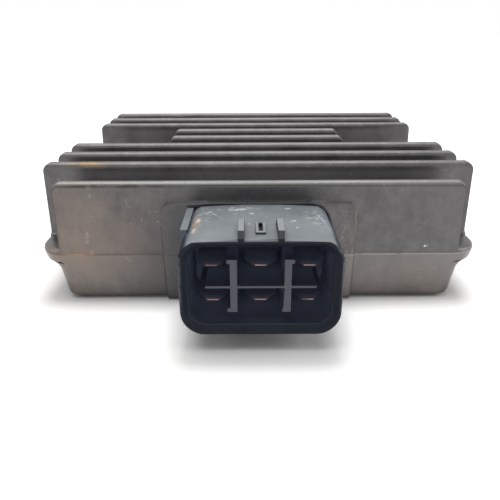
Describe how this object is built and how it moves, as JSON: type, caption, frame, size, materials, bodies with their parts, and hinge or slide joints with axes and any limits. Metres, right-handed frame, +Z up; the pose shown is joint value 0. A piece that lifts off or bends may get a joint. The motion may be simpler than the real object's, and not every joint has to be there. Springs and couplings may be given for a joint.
{
  "type": "voltage regulator rectifier",
  "caption": "Finned die-cast voltage regulator rectifier with a keyed blade socket in its front wall, mounting holes in its side pockets and a potted underside.",
  "frame": {"origin": "midway between the two mounting holes, on the mounting face that rests on the frame", "axes": "+X along the fins, +Y from the socket to the rear fin, +Z up out of the fins' tips"},
  "size_m": [0.1016, 0.1051, 0.0305],
  "materials": {
    "cast_metal": "dull die-cast metal, stained and scuffed",
    "socket_plastic": "satin moulded plastic, scuffed on top",
    "terminal_metal": "plated, slightly tarnished",
    "insulating_film": "plain thermal film",
    "board_metal": "metal-backed board",
    "device_moulding": "moulded epoxy",
    "bar_copper": "bare copper",
    "chip_moulding": "moulded epoxy",
    "capacitor_can": "bright can",
    "resistor_body": "coated ceramic",
    "capacitor_body": "plain ceramic",
    "potting": "cast compound, slightly glossy"
  },
  "bodies": {
    "root": {"heatsink_housing": "cast_metal", "connector_shell": "socket_plastic", "terminal_phase_1": "terminal_metal", "terminal_phase_2": "terminal_metal", "terminal_phase_3": "terminal_metal", "terminal_battery": "terminal_metal", "terminal_ground": "terminal_metal", "terminal_sense": "terminal_metal", "insulating_sheet": "insulating_film", "power_board": "board_metal", "thyristor_1": "device_moulding", "thyristor_2": "device_moulding", "thyristor_3": "device_moulding", "diode_1": "device_moulding", "diode_2": "device_moulding", "diode_3": "device_moulding", "positive_bus_bar": "bar_copper", "ground_bus_bar": "bar_copper", "control_chip": "chip_moulding", "smoothing_capacitor": "capacitor_can", "sense_zener": "chip_moulding", "gate_diodes": "chip_moulding", "gate_resistors": "resistor_body", "chip_capacitors": "capacitor_body", "potting_compound": "potting"}
  },
  "joints": []
}
